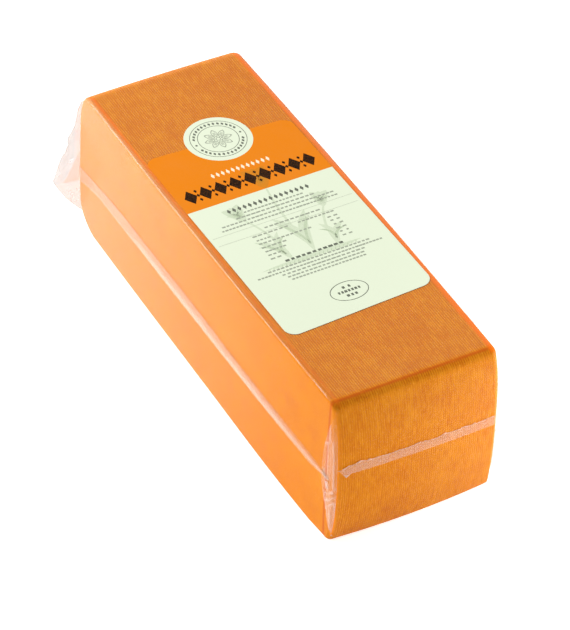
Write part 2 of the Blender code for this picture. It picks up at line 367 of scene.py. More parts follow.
def closedBlock(across, along, corner, rows, depth):
    # A closed shell of the block, sunk in by depth: rings for its walls, and a grid on the top and base.
    shares = {stretch: corner for stretch in range(8)}
    shares.update({right: along, left: along, back: across, front: across})
    places = [(stretch, i / shares[stretch]) for stretch in range(8) for i in range(shares[stretch])]
    squeeze = 1 - 2 * depth / block["height"]
    points = []
    for z in ringHeights(rows):
        for stretch, share in places:
            point = onBlock(stretch, share, z, -depth)
            point.z = depth + z * squeeze
            points.append(point)
    count = len(places)
    faces = []
    ringCount = len(points) // count
    for ring in range(ringCount - 1):
        for i in range(count):
            after = (i + 1) % count
            low, high = ring * count, (ring + 1) * count
            faces.append((low + i, low + after, high + after, high + i))
    half = corner // 2
    starts = {  # the ring's four chains run between the middles of its corners
        "right": -half,
        "back": along + half,
        "left": along + corner + across + half,
        "front": 2 * along + 2 * corner + across + half,
    }
    columns, lines = across + corner, along + corner

    def chain(base, name, length, reverse=False):
        found = [base + (starts[name] + i) % count for i in range(length + 1)]
        return found[::-1] if reverse else found

    for base, flip in ((0, True), ((ringCount - 1) * count, False)):
        edges = {
            "front": chain(base, "front", columns),
            "back": chain(base, "back", columns, True),
            "left": chain(base, "left", lines, True),
            "right": chain(base, "right", lines),
        }
        grid = []
        for j in range(lines + 1):
            v = j / lines
            row = []
            for i in range(columns + 1):
                u = i / columns
                if j in (0, lines):
                    row.append(edges["front" if j == 0 else "back"][i])
                elif i in (0, columns):
                    row.append(edges["left" if i == 0 else "right"][j])
                else:
                    ends = points[edges["front"][i]] * (1 - v) + points[edges["back"][i]] * v
                    sides = points[edges["left"][j]] * (1 - u) + points[edges["right"][j]] * u
                    low = points[edges["front"][0]] * (1 - u) + points[edges["front"][-1]] * u
                    high = points[edges["back"][0]] * (1 - u) + points[edges["back"][-1]] * u
                    row.append(len(points))
                    points.append(ends + sides - low * (1 - v) - high * v)
            grid.append(row)
        for j in range(lines):
            for i in range(columns):
                face = (grid[j][i], grid[j][i + 1], grid[j + 1][i + 1], grid[j + 1][i])
                faces.append(face[::-1] if flip else face)
    return points, faces


# The cheese.
cheese = {
    "depth": 0.00022,  # under the film
    "ribPitch": 0.001375,
    "ribDepth": 0.00011,
    "ribWander": 0.00022,
    "perPitch": 5,  # faces across one rib
    "along": 60,
    "deep": linear(198, 104, 2),
    "body": linear(209, 121, 7),
    "pale": linear(220, 138, 22),
    "strip": linear(238, 112, 4),  # along the top's long edges
    "rim": linear(192, 84, 1),  # painted shade: a dark line just behind the front end's top edge
    "rimShadePlace": -0.1459,
    "rimShadeWidth": 0.0018,
    "paintedLight": linear(255, 150, 30),  # painted light: the front corners painted lighter, where the lamps leave them darker
}


def cheeseMaterial():
    sockets = {"Coat Weight": 0.10, "Coat Roughness": 0.16, "Coat IOR": 1.4, "Specular IOR Level": 0.04}
    material, bench, shader = newMaterial("cheese", sockets)
    place = bench.add("ShaderNodeTexCoord", output=3)
    stretched = bench.add("ShaderNodeMapping", None, {"Vector": place, "Scale": (1.0, 0.35, 1.0)})
    cloud = bench.noise(stretched, 22.0, 3.0, 0.6)
    blotch = bench.noise(place, 90.0, 4.0, 0.65)
    grain = bench.noise(place, 900.0, 2.0, 0.6)
    normal = bench.add("ShaderNodeNewGeometry", output=1)
    sideways = bench.function("ABSOLUTE", bench.add("ShaderNodeSeparateXYZ", None, {0: normal}))
    upward = bench.step(bench.add("ShaderNodeSeparateXYZ", None, {0: normal}, 2), 0.6, 0.9)
    ribbed = 1 - bench.step(sideways, 0.55, 0.85)
    rib = bench.add("ShaderNodeAttribute", {"attribute_name": "rib"}, output=2)
    longThreads = bench.add("ShaderNodeMapping", None, {"Vector": place, "Scale": (1.0, 0.2, 0.2)})
    threads = bench.noise(longThreads, 800.0)
    tone = 0.5 + 0.8 * (cloud - 0.5) + 1.0 * (blotch - 0.5) + 1.0 * (grain - 0.5) - 0.16 * upward
    # painted shade: the ribs painted lighter on their ridges and darker in their grooves, most on the top
    tone = tone + ((0.22 + 0.26 * upward) * rib + 1.5 * (threads - 0.5)) * ribbed
    colour = bench.colours(bench.step(tone, 0.0, 0.5), cheese["deep"], cheese["body"])
    colour = bench.colours(bench.step(tone, 0.5, 1.0), colour, cheese["pale"])
    # painted shade: a dark line across the top just behind the front end's top edge, broken by the blotches
    y = bench.add("ShaderNodeSeparateXYZ", None, {0: place}, 1)
    fromRimShade = bench.function("ABSOLUTE", y - cheese["rimShadePlace"])
    rim = (1 - bench.step(fromRimShade, 0.0, cheese["rimShadeWidth"])) * bench.step(blotch, 0.1, 0.5) * 0.85
    colour = bench.colours(rim, colour, cheese["rim"])
    # the strip along the long top edges, then the painted light on the front corners
    for name in ("strip", "paintedLight"):
        share = bench.add("ShaderNodeAttribute", {"attribute_name": name}, output=2)
        colour = bench.colours(share, colour, cheese[name])
    bench.plug(shader.inputs["Base Color"], colour)
    bench.plug(shader.inputs["Roughness"], 0.42 + 0.2 * (blotch - 0.5))
    shortThreads = bench.add("ShaderNodeMapping", None, {"Vector": place, "Scale": (1.0, 2.2, 2.2)})
    weave = bench.noise(shortThreads, 520.0)
    sockets = {"Strength": 0.45, "Distance": 0.0002, "Height": weave + 0.6 * grain}
    bump = bench.add("ShaderNodeBump", None, sockets)
    bench.plug(shader.inputs["Normal"], bump)
    return material


def ribTree():
    inputs = {"Geometry": "NodeSocketGeometry", "Material": "NodeSocketMaterial"}
    inputs.update(dict.fromkeys(("Pitch", "Depth", "Wander"), "NodeSocketFloat"))
    tree, bench, wires = newGeometryTree("clothRibs", inputs)
    place = bench.add("GeometryNodeInputPosition")
    normal = bench.add("GeometryNodeInputNormal")
    x = bench.add("ShaderNodeSeparateXYZ", None, {0: place})
    sideways = bench.function("ABSOLUTE", bench.add("ShaderNodeSeparateXYZ", None, {0: normal}))
    ribbed = 1 - bench.step(sideways, 0.45, 0.8)
    wander = bench.noise(place, 30.0) - 0.5
    uneven = 0.5 + bench.noise(place, 60.0)
    turn = (x + wander * wires["Wander"]) * (2 * math.pi) / wires["Pitch"]
    wave = bench.function("SINE", turn)
    height = wave * wires["Depth"] * 0.5 * ribbed * uneven
    move = bench.add("ShaderNodeVectorMath", {"operation": "SCALE"}, {0: normal, "Scale": height})
    moved = bench.add("GeometryNodeSetPosition", None, {"Geometry": wires["Geometry"], "Offset": move})
    # the rib's height, kept for the painted shade in the grooves
    sockets = {"Geometry": moved, "Name": "rib", "Value": wave * uneven}
    marked = bench.add("GeometryNodeStoreNamedAttribute", None, sockets)
    endTree(bench, marked, wires["Material"])
    return tree


def makeCheese():
    material = cheeseMaterial()
    across = round((block["width"] - 2 * block["cornerRound"]) / cheese["ribPitch"]) * cheese["perPitch"]
    points, faces = closedBlock(across, cheese["along"], 6, 22, cheese["depth"])
    piece = newPiece("cheese", points, faces, material)
    strips, paintedLights = [], []
    for point in points:
        bow = sideBow(clamp(0.5 + point.y / block["length"]), point.z)
        fromEdge = halfWidth(block["height"]) + bow - abs(point.x)  # inwards from the edge
        sway = 0.0004 * noise.noise(Vector((point.x * 8, point.y * 40, 0)))
        onTop = smooth((point.z - 0.0960) / 0.001)
        if point.x < 0:
            strip = smooth(1 - abs(fromEdge - 0.0016 + sway) / 0.0020)
            strip *= mix(0.3, 0.75, clamp((point.y + 0.13) / 0.25))
        else:
            strip = smooth((0.0032 - fromEdge + sway) / 0.0020) * 0.9
        strips.append(strip * onTop)
        core = halfWidth(point.z) - block["cornerRound"]
        middleY = halfLength(-1, math.copysign(core, point.x), point.z) - block["cornerRound"]
        turn = math.degrees(math.atan2(max(0, -point.y - middleY), max(1e-6, abs(point.x) - core)))
        beside = abs(point.x) > core and -point.y > middleY
        # painted light: the front corners painted lighter, most on the left
        paintedLight = smooth(1 - abs(turn - 52) / 42) * smooth(point.z / 0.01) * smooth((0.0965 - point.z) / 0.004)
        paintedLights.append(paintedLight * (1.0 if point.x < 0 else 0.3) if beside else 0.0)
    pointValues(piece, "strip", strips)
    pointValues(piece, "paintedLight", paintedLights)
    values = {"Pitch": cheese["ribPitch"], "Depth": cheese["ribDepth"], "Wander": cheese["ribWander"]}
    runTree(piece, ribTree(), {**values, "Material": material})
    finishPiece(piece, "cheese", "cheese_block")


makeCheese()


# The clear film.
film = {
    "skinMilk": 0.003,  # how white the film looks: 0 is clear, 1 is solid
    "topHaze": 0.034,
    "frontHaze": 0.028,
    # painted sheen: the long sides painted whiter towards the back
    "backSheen": 0.175,
    # the film bead along the long top edges, painted pale as a highlight
    "edgeHighlightMilk": 0.36,
    "edgeGap": 0.00004,
    "edgeThick": 0.00010,
    "edgeBead": 0.00022,
    "edgeTurn": 60,  # where the pale line, a painted highlight, lies on the rounded edge: 0 faces sideways, 90 faces up
    "wrinkle": 0.00010,
    "skinPale": linear(255, 252, 222),
    "skinShade": linear(246, 240, 208),
    "bandPale": linear(253, 226, 206),
    "bandShade": linear(250, 220, 200),
    "bandGlow": linear(246, 186, 150),
    # the warm colour of the painted highlight along the long top edges
    "edgeHighlightTint": linear(255, 196, 110),
    "white": linear(252, 246, 242),
    "grey": linear(236, 232, 232),
    "warm": linear(248, 190, 150),
    "earPale": linear(188, 194, 197),
    "earShade": linear(178, 184, 190),
    # the ears' warm colour, a painted reflection of the cheese
    "earCheeseReflection": linear(255, 178, 138),
}


def filmMaterial(name, roughness, speckle, pale="white", shade="grey", warm="warm"):
    # Film whose milkiness and warmth come from the piece's own values. On some pieces the milk also holds painted
    # highlights and a painted sheen, and on the ears the warmth is a painted reflection of the cheese.
    sockets = {"Roughness": roughness, "IOR": 1.46, "Coat Weight": 0.0, "Specular IOR Level": 0.6}
    material, bench, shader = newMaterial(name, sockets)
    place = bench.add("ShaderNodeTexCoord", output=3)
    milk = bench.add("ShaderNodeAttribute", {"attribute_name": "milk"}, output=2)
    warmth = bench.add("ShaderNodeAttribute", {"attribute_name": "warmth"}, output=2)
    cloud = bench.noise(place, 60.0, 3.0, 0.6)
    fine = bench.noise(place, 480.0, 3.0, 0.6)
    uneven = 1 + speckle * (1.3 * (cloud - 0.5) + 1.5 * (fine - 0.5))
    bench.plug(shader.inputs["Alpha"], bench.function("ABSOLUTE", milk * uneven))
    colour = bench.colours(bench.step(cloud, 0.35, 0.7), film[pale], film[shade])
    colour = bench.colours(warmth, colour, film[warm])
    bench.plug(shader.inputs["Base Color"], colour)
    sockets = {"Strength": min(0.3, speckle), "Distance": 0.0003, "Height": cloud + 0.4 * fine}
    bump = bench.add("ShaderNodeBump", None, sockets)
    bench.plug(shader.inputs["Normal"], bump)
    return material


def makeFilmSkin():
    material = filmMaterial("tightFilm", 0.16, 0.5, "skinPale", "skinShade")
    points, faces = closedBlock(64, 150, 10, 40, 0.0)
    middle = Vector((0, 0, block["height"] / 2))
    moved, milks = [], []
    for point in points:
        ripple = noise.noise(point * 55) * 0.6 + noise.noise(point * 140) * 0.4
        milk = film["skinMilk"] * (1 + 0.5 * noise.noise(point * 30))
        onTop = smooth((point.z - block["height"] + 0.001) / 0.001)
        onFront = smooth((-0.149 - point.y) / 0.004) * smooth((0.0965 - point.z) / 0.003)
        onLeft = smooth((abs(point.x) - 0.047) / 0.004)
        milk += film["topHaze"] * onTop * smooth((point.y + 0.1455) / 0.003)
        milk += film["frontHaze"] * onFront * clamp(point.x / 0.1 + 0.4)
        # painted sheen: whiter towards the back on the long sides
        milk += film["backSheen"] * onLeft * clamp((point.y + 0.125) / 0.27) ** 1.1
        milks.append(clamp(milk, 0, 0.6))
        flat = clamp((point.z - 0.002) / 0.004) * clamp((block["height"] - 0.0006 - point.z) / 0.003)
        outward = point - middle
        outward = Vector((outward.x / 0.05, outward.y / 0.157, 0)).normalized()
        moved.append(point + outward * ripple * film["wrinkle"] * flat)
    piece = newPiece("filmSkin", moved, faces, material)
    pointValues(piece, "milk", milks)
    pointValues(piece, "warmth", [0.0] * len(moved))
    finishPiece(piece, "film", "cheese_block")


def makeFilmEdgeHighlight(name, stretch, seed):  # the thin wavy bead of film where it turns over a long top edge, painted pale as a highlight
    material = filmMaterial(name + "Film", 0.2, 0.4, "bandPale", "bandPale", "edgeHighlightTint")
    sheet = Sheet()
    for i in range(301):
        share = mix(0.012, 0.988, i / 300)
        sway = 9 * noise.noise(Vector((share * 14, seed, 0))) + 5 * noise.noise(Vector((share * 60, seed, 4)))
        strong = clamp(0.62 + 1.0 * noise.noise(Vector((share * 18, seed, 8))), 0.15, 1.0)
        wide = mix(16, 30, clamp(0.5 + noise.noise(Vector((share * 25, seed, 2)))))
        sheet.addRow()
        for j in range(9):
            t = j / 8
            bead = math.sin(math.pi * t)
            turn = math.radians(min(88, film["edgeTurn"] + sway + wide * (t - 0.5)))
            z = block["height"] - block["sideTopRound"] * (1 - math.sin(turn))
            inner = onBlock(stretch, share, z, film["edgeGap"])
            outer = onBlock(stretch, share, z, film["edgeThick"] + film["edgeBead"] * bead)
            # the bead's milk and warm tint paint the highlight along the edge
            sheet.add(outer, inner, film["edgeHighlightMilk"] * bead * strong, clamp(0.9 - 0.6 * bead * strong))
    piece = sheet.piece(name, material)
    finishPiece(piece, "film", "cheese_block")


makeFilmSkin()
makeFilmEdgeHighlight("filmEdgeHighlightLeft", left, 1.0)
makeFilmEdgeHighlight("filmEdgeHighlightRight", right, 6.0)


# The film's seam, folded flat. It follows the block at the same heights as the frame's film_seam.
seam = {
    "height": 0.0491,
    "hump": 0.0014,
    "humpPeak": 0.55,
    "humpReach": 0.16,
    "finLow": 0.0402,
    "finSlope": 0.0018,
    "frontNarrow": 0.0012,
    "highDrop": 0.0057,
    "highDropLength": 0.0600,
    "lowDrop": 0.0060,
    "lowDropLength": 0.0300,
    "dropPower": 1.4,
    "endRise": 0.0025,
    "frontSlope": 0.0046,
    "endFin": 0.0066,
    "frontRise": 0.0036,
    "frontFin": 0.0062,
    "riseWidth": 0.0200,
    "finTaper": 0.20,
    "gap": 0.00022,  # over the block
    "thick": 0.00012,
    "fold": 0.00030,  # how far the folded layers stand up in the middle of the fin
    "pointStart": 0.0026,  # the side fin ends in a point here, behind the corner
    "pointLength": 0.0200,
    "stripes": [(0.10, 0.05, 0.5), (0.42, 0.07, 0.9), (0.60, 0.04, 0.6), (0.86, 0.05, 0.7)],
    "curls": [(0.0156, 0.0016), (0.0279, 0.0022), (-0.0365, 0.0012), (-0.0310, 0.0010), (0.0350, 0.0009)],
    "rows": 34,
    "tip": -0.0451,  # of the triangle folded down at the front fin's left end
}


def sideHeights(along, side):  # lower and upper edge of the fin on a long side, along being 0 at the front
    toBack = (1 - along) * block["length"]
    high = seam["height"] + seam["hump"] * math.exp(-(((along - seam["humpPeak"]) / seam["humpReach"]) ** 2))
    high -= seam["highDrop"] * clamp(1 - toBack / seam["highDropLength"]) ** seam["dropPower"]
    low = seam["finLow"] - seam["finSlope"] * along
    low += seam["frontNarrow"] * (1 - smooth(along / seam["finTaper"]))
    low -= seam["lowDrop"] * clamp(1 - toBack / seam["lowDropLength"]) ** seam["dropPower"]
    sway = noise.noise(Vector((along * 9, side * 5, 0))) * 0.0004
    low += sway + noise.noise(Vector((along * 60, side * 7, 2))) * 0.00018
    high += sway + noise.noise(Vector((along * 40, side * 9, 4))) * 0.00035
    return low, high


def bandStations():  # the long fin from its point at the front left, round the back, to the front right
    start = seam["pointStart"] / block["length"]
    stations = [(left, 1 - start - (1 - start) * i / 190) for i in range(190)]
    stations += [(backLeft, 1 - i / 8) for i in range(8)]
    stations += [(back, 1 - i / 80) for i in range(80)]
    stations += [(backRight, 1 - i / 8) for i in range(8)]
    return stations + [(right, 1 - (1 - start) * i / 190) for i in range(191)]


def bandEdges(stretch, share):
    if stretch in (left, right):
        along = share if stretch == right else 1 - share
        side = 1 if stretch == right else -1
        low, high = sideHeights(along, side)
        toPoint = (along * block["length"] - seam["pointStart"]) / seam["pointLength"]
        narrow = clamp(toPoint) ** 0.8
        tip = seam["height"] - 0.0030
        return mix(tip - 0.0002, low, narrow), mix(tip + 0.0002, high, narrow), along
    side = 1 if stretch == backRight else -1
    low, high = sideHeights(1.0, side)
    if stretch != back:
        return low, high, 1.0
    fromCorner = min(share, 1 - share) * block["width"]
    rise = smooth(fromCorner / seam["riseWidth"])
    endLow = seam["height"] + seam["endRise"]
    endHigh = endLow + seam["endFin"] + 0.0008 * noise.noise(Vector((share * 14, 3, 1))) * rise
    return mix(low, endLow, rise), mix(high, endHigh, rise), 1.0


def stripeSum(t):
    return sum(weight * math.exp(-(((t - middle) / width) ** 2)) for middle, width, weight in seam["stripes"])


def bandLook(t, along, seed):  # milk and relief across the long fin, t being 0 at its lower edge
    crisp = smooth((along - 0.70) / 0.12)
    softEdge = mix(0.34, 0.16, smooth((along - 0.2) / 0.3))
    soft = smooth(t / 0.2) * smooth((1 - t) / softEdge)
    plateau = mix(soft, smooth(t / 0.05) * smooth((1 - t) / 0.05), crisp)
    creamy = smooth(t / 0.22) * smooth((0.74 - t) / 0.46) * (1 - crisp)
    nearFront = smooth((0.30 - along) / 0.24)
    stripes = stripeSum(t)
    lines = mix(1.0, 0.30 + 1.0 * clamp(stripes), nearFront)
    scribble = noise.noise(Vector((t * 9, along * 160, seed))) * mix(0.03, 0.06, crisp)
    milk = (0.02 + 0.22 * plateau + 0.15 * creamy) * lines + scribble * 0.5 * plateau
    relief = plateau * (0.6 + 0.3 * creamy) + 0.55 * stripes * nearFront + scribble
    warmth = 0.62 - 0.5 * creamy - 0.15 * crisp
    return clamp(milk, 0.01, 0.6), relief, clamp(warmth)


def makeFilmBand():
    material = filmMaterial("seamFilm", 0.24, 0.35, "bandPale", "bandShade", "bandGlow")
    sheet = Sheet()
    for number, (stretch, share) in enumerate(bandStations()):
        low, high, along = bandEdges(stretch, share)
        sheet.addRow()
        for i in range(seam["rows"] + 1):
            t = i / seam["rows"]
            z = mix(low, high, t)
            milk, relief, warmth = bandLook(t, along, 1.0 if number > 230 else 0.0)
            sheet.addOnBlock((stretch, share), z, seam["fold"] * relief, milk, warmth)
    piece = sheet.piece("filmBand", material)
    finishPiece(piece, "film", "film_seam")


def makeFilmFront():
    # The same fin across the front end: a straight lower edge and a ragged upper one with small curls.
    material = filmMaterial("frontSeamFilm", 0.24, 0.08, "bandPale", "bandShade", "bandGlow")
    columns = 220
    straight = block["width"] / 2 - block["cornerRound"]  # the corners start here
    cornerArc = 0.0055  # the way round one corner
    reach = straight + 0.0022
    sheet = Sheet()
    for i in range(columns + 1):
        across = i / columns
        x = mix(-reach, reach, across)
        spot = (front, clamp((x / straight + 1) / 2))
        if x < -straight:
            spot = (frontLeft, 1 + (x + straight) / cornerArc)
        if x > straight:
            spot = (frontRight, (x - straight) / cornerArc)
        low = seam["height"] + seam["frontRise"] - seam["frontSlope"] * across
        low += noise.noise(Vector((across * 20, 0, 5))) * 0.0001
        stepUp = noise.noise(Vector((across * 11, 8, 2)))
        sharp = noise.noise(Vector((across * 55, 4, 7)))
        high = low + seam["frontFin"] + 0.0008 * stepUp + 0.00045 * sharp
        curl = sum(math.exp(-(((x - place) / size) ** 2)) for place, size in seam["curls"])
        high += 0.0007 * curl
        fromTip = x - seam["tip"]  # a triangle of film folded down at the left end
        tipFold = clamp(1 + fromTip / 0.0048) if fromTip < 0 else clamp(1 - fromTip / 0.0034)
        low = mix(high - 0.0012, low - 0.0016, tipFold) if fromTip < 0 else low - 0.0016 * tipFold
        high -= 0.0022 * smooth(1 - (x + reach) / 0.0060)
        sheet.addRow()
        for j in range(seam["rows"] + 1):
            t = j / seam["rows"]
            z = mix(low, high, t)
            ragged = clamp(0.6 + 1.2 * noise.noise(Vector((across * 38, 1, 3))))
            rim = math.exp(-(((1 - t) / 0.07) ** 2)) * mix(0.35, 1.0, ragged)
            lines = math.exp(-(((t - 0.55 - 0.1 * stepUp) / 0.05) ** 2)) * 0.5
            lines += math.exp(-(((t - 0.25 - 0.1 * sharp) / 0.06) ** 2)) * 0.3
            scribble = noise.noise(Vector((t * 5, across * 70, 9)))
            point = math.exp(-(((x - seam["tip"] - 0.0004) / 0.0011) ** 2)) * smooth((0.22 - t) / 0.16)
            milk = 0.15 + 0.05 * lines + 0.26 * rim + 0.04 * scribble + 0.34 * curl * rim + 0.40 * point
            relief = 0.5 + 0.4 * rim + 0.9 * curl * rim + 0.2 * scribble + 0.6 * point
            warmth = clamp(0.18 + 0.30 * across - 0.2 * rim)
            sheet.addOnBlock(spot, z, seam["fold"] * relief, clamp(milk, 0.03, 0.6), warmth)
    piece = sheet.piece("filmFront", material)
    finishPiece(piece, "film", "film_seam")


makeFilmBand()
makeFilmFront()


# The slack film folded into each front corner. A crease is a start, an end, its width, its milk and its height;
# its milk is the fold's whiteness with a painted highlight along it.
# Its places are measured back from the corner's middle and up from the base.
gusset = {
    "top": 0.0940,
    "bottom": 0.0050,
    "width": 0.0108,
    "front": -0.0004,  # its front edge, back from the corner's middle
    "upperPower": 0.5,
    "lowerPower": 0.8,
    "columns": 64,
    "rows": 150,
    "puff": 0.00045,
    "creases": [
        ((0.0045, 0.0925), (0.0050, 0.0730), 0.0006, 0.20, 0.5),
        ((0.0072, 0.0692), (0.0066, 0.0466), 0.0007, 0.15, 0.6),
        ((0.0023, 0.0747), (0.0016, 0.0434), 0.0007, 0.16, 0.5),
        ((0.0041, 0.0700), (0.0040, 0.0480), 0.0005, 0.08, 0.4),
        ((0.0125, 0.0668), (0.0050, 0.0722), 0.0009, 0.12, 0.5),
        ((0.0115, 0.0500), (0.0075, 0.0380), 0.0009, 0.12, 0.4),
        ((0.0085, 0.0345), (0.0020, 0.0395), 0.0015, 0.11, 0.4),
        ((0.0030, 0.0385), (0.0002, 0.0440), 0.0009, 0.10, 0.4),
        ((0.0078, 0.0290), (0.0008, 0.0370), 0.0012, 0.12, 0.5),
        ((0.0070, 0.0235), (0.0006, 0.0330), 0.0008, 0.12, 0.5),
        ((0.0055, 0.0220), (0.0030, 0.0070), 0.0006, 0.10, 0.4),
        ((0.0030, 0.0260), (0.0012, 0.0080), 0.0006, 0.14, 0.5),
        ((0.0080, 0.0425), (0.0068, 0.0395), 0.0012, 0.22, 0.6),
    ],
}


def gussetReach(z):  # how far the gusset reaches back from the corner at height z
    low, high = sideHeights(0.02, -1)
    if z > high:
        near = clamp((z - high) / (gusset["top"] - high))
        return 1 - near ** (1 / gusset["upperPower"])
    near = clamp((low - z) / (low - gusset["bottom"]))
    return 1 - near ** (1 / gusset["lowerPower"])


def makeGusset(name, side, seed):
    material = filmMaterial(name + "Film", 0.22, 0.5)
    cornerArc = block["cornerRound"] * math.pi / 2
    sheet = Sheet()
    for j in range(gusset["rows"] + 1):
        z = mix(gusset["bottom"], gusset["top"], j / gusset["rows"])
        wide = gussetReach(z)
        backEdge = cornerArc / 2 * mix(0.4, 1, wide) + gusset["width"] * wide - cornerArc / 2 * (1 - wide)
        sheet.addRow()
        for i in range(gusset["columns"] + 1):
            u = i / gusset["columns"]
            behind = mix(gusset["front"], backEdge, u)  # along the surface, back from the corner's middle
            if behind > cornerArc / 2:
                share = (behind - cornerArc / 2) / block["length"]
                spot = (right, share) if side > 0 else (left, 1 - share)
            else:
                spot = (frontLeft if side < 0 else frontRight, 0.5 + side * behind / cornerArc)
            place = Vector((behind, z))
            jitter = Vector((noise.noise(Vector((behind * 300, z * 60, seed))) * 0.0005, 0))
            # the creases' milk: their whiteness with a painted highlight along each
            crease = 0.0
            height = 0.0
            for start, end, width, milkiness, rise in gusset["creases"]:
                near = nearLine(place + jitter, Vector(start), Vector(end), width)
                crease += near * milkiness
                height += near * rise
            rim = math.exp(-((u / 0.05) ** 2)) + 0.5 * math.exp(-(((1 - u) / 0.04) ** 2))
            grainy = noise.noise(Vector((behind * 700, z * 45, seed)))
            paler = 0.10 * smooth((0.036 - z) / 0.004)
            # painted highlight along the gusset's front edge, low down
            frontEdgeHighlight = 0.30 * math.exp(-((u / 0.07) ** 2)) * smooth((0.034 - z) / 0.004)
            milk = 0.08 + paler + frontEdgeHighlight + 1.15 * crease + 0.04 * rim * wide + 0.06 * grainy
            relief = math.sin(math.pi * u) * wide * (1 + 0.25 * grainy) + 0.6 * height
            fade = mix(0.3, 1, smooth((gusset["top"] - z) / 0.024))
            milk = clamp(milk * mix(0.9, 1, wide) * fade, 0.01, 0.6)
            sheet.addOnBlock(spot, z, gusset["puff"] * relief, milk, clamp(0.55 - 2 * crease))
    piece = sheet.piece(name, material)
    finishPiece(piece, "film", "film_seam")


makeGusset("filmGussetLeft", -1, 0.0)
makeGusset("filmGussetRight", 1, 5.0)


# The loose film ears at the back corners.
ear = {
    "outline": [  # height, and how far the ear stands off its corner there
        (0.0095, 0.0003), (0.0112, 0.0024), (0.0140, 0.0050), (0.0188, 0.0088), (0.0275, 0.0139),
        (0.0345, 0.0174), (0.0358, 0.0178), (0.0462, 0.0136), (0.0528, 0.0106), (0.0538, 0.0090),
        (0.0555, 0.0089), (0.0580, 0.0079), (0.0592, 0.0073), (0.0615, 0.0080), (0.0650, 0.0074),
        (0.0680, 0.0056), (0.0720, 0.0035), (0.0760, 0.0026), (0.0840, 0.0016), (0.0905, 0.0004),
    ],
    "root": 0.15,  # share of the corner where the sheet starts, behind the block's outline
    "foldTop": 0.0520,  # the fold, tinted orange by a painted reflection of the cheese, is a triangle between these heights at the corner
    "foldBottom": 0.0294,
    "foldTip": (0.0110, 0.0312),
    "wave": 0.0010,
    "waveLength": 0.0390,
    "thick": 0.00016,
    "rows": 170,
    "columns": 48,
}


def earReach(z):
    for (low, lowReach), (high, highReach) in zip(ear["outline"], ear["outline"][1:]):
        if z <= high:
            return mix(lowReach, highReach, clamp((z - low) / (high - low)))
    return ear["outline"][-1][1]


def makeEar(name, side, node):
    material = filmMaterial(name + "Film", 0.3, 0.06, "earPale", "earShade", "earCheeseReflection")
    stretch = backLeft if side < 0 else backRight
    bottom, top = ear["outline"][0][0], ear["outline"][-1][0]
    tipFar, tipZ = ear["foldTip"]
    sheet = Sheet()
    for j in range(ear["rows"] + 1):
        z = mix(bottom, top, j / ear["rows"])
        root = onBlock(stretch, ear["root"] if side < 0 else 1 - ear["root"], z, 0.0002)
        corner = onBlock(stretch, 0.5, z, 0.0002)
        reach = earReach(z) + abs(corner.x - root.x)
        sheet.addRow()
        for i in range(ear["columns"] + 1):
            far = i / ear["columns"] * reach
            away = far - abs(corner.x - root.x)  # from the corner
            foldHigh = mix(tipZ, ear["foldTop"], clamp(1 - away / tipFar) ** 1.2)
            foldLow = mix(ear["foldBottom"], tipZ, clamp(away / tipFar))
            inFold = smooth((z - foldLow + 0.0006) / 0.0014) * smooth((foldHigh - z + 0.0012) / 0.0030)
            inFold *= away < tipFar
            upper = smooth((z - foldHigh + 0.0006) / 0.0024)
            besideBlock = smooth(1 - away / 0.0040)
            rim = math.exp(-(((reach - far) / 0.0006) ** 2))
            pleat = noise.noise(Vector((far * 190, z * 55, 3 * side)))
            streak = nearLine(Vector((away, z)), Vector((0.0150, 0.0385)), Vector((0.0050, 0.0470)), 0.0012)
            milk = mix(0.38, 0.41, upper) + 0.08 * inFold + 0.07 * rim + 0.06 * pleat * upper - 0.05 * streak
            # painted reflection of the cheese: warmer low down, beside the block and in the fold
            warm = mix(0.34, mix(0.0, 0.42, besideBlock), upper) * (1 - 0.5 * streak) + 0.42 * inFold
            wave = ear["wave"] * (far / 0.018) ** 2 * math.sin(math.tau * z / ear["waveLength"] + side)
            ripple = 0.0004 * pleat * smooth(far / 0.004) * mix(0.2, 1.0, upper) + 0.0003 * inFold
            x = root.x + side * far
            y = root.y + wave + ripple
            half = Vector((0, ear["thick"] / 2, 0))
            centre = Vector((x, y, z))
            sheet.add(centre + half, centre - half, clamp(milk, 0.05, 0.7), clamp(warm + 0.08 * pleat))
    piece = sheet.piece(name, material)
    piece.visible_shadow = False  # the loose film lets the light through
    finishPiece(piece, "film", node)


makeEar("filmEarLeft", -1, "film_ear_left")
makeEar("filmEarRight", 1, "film_ear_right")


# The label. Its own places are measured from its middle, u across and v along it.
label = {
    "width": 0.0930,
    "length": 0.1670,
    "middle": (0.0005, -0.0046),
    "turn": math.radians(0.7),
    "corner": 0.0070,
    "badgeRadius": 0.0200,
    "badgeShift": 0.0011,
    "lowSkew": 0.042,
    "highSkew": -0.024,
    "bottom": 0.09798,
    "thick": 0.00009,
    "bevel": 0.00003,
    "fieldEdge": 0.0315,  # where the orange field ends
    "orange": linear(229, 129, 7),
    "green": linear(224, 233, 208),
    "dust": linear(188, 186, 172),
}


def labelPlace(u, v, height=0.0):
    turned = Matrix.Rotation(label["turn"], 2) @ Vector((u, v))
    top = label["bottom"] + label["thick"] + height
    return Vector((turned.x + label["middle"][0], turned.y + label["middle"][1], top))


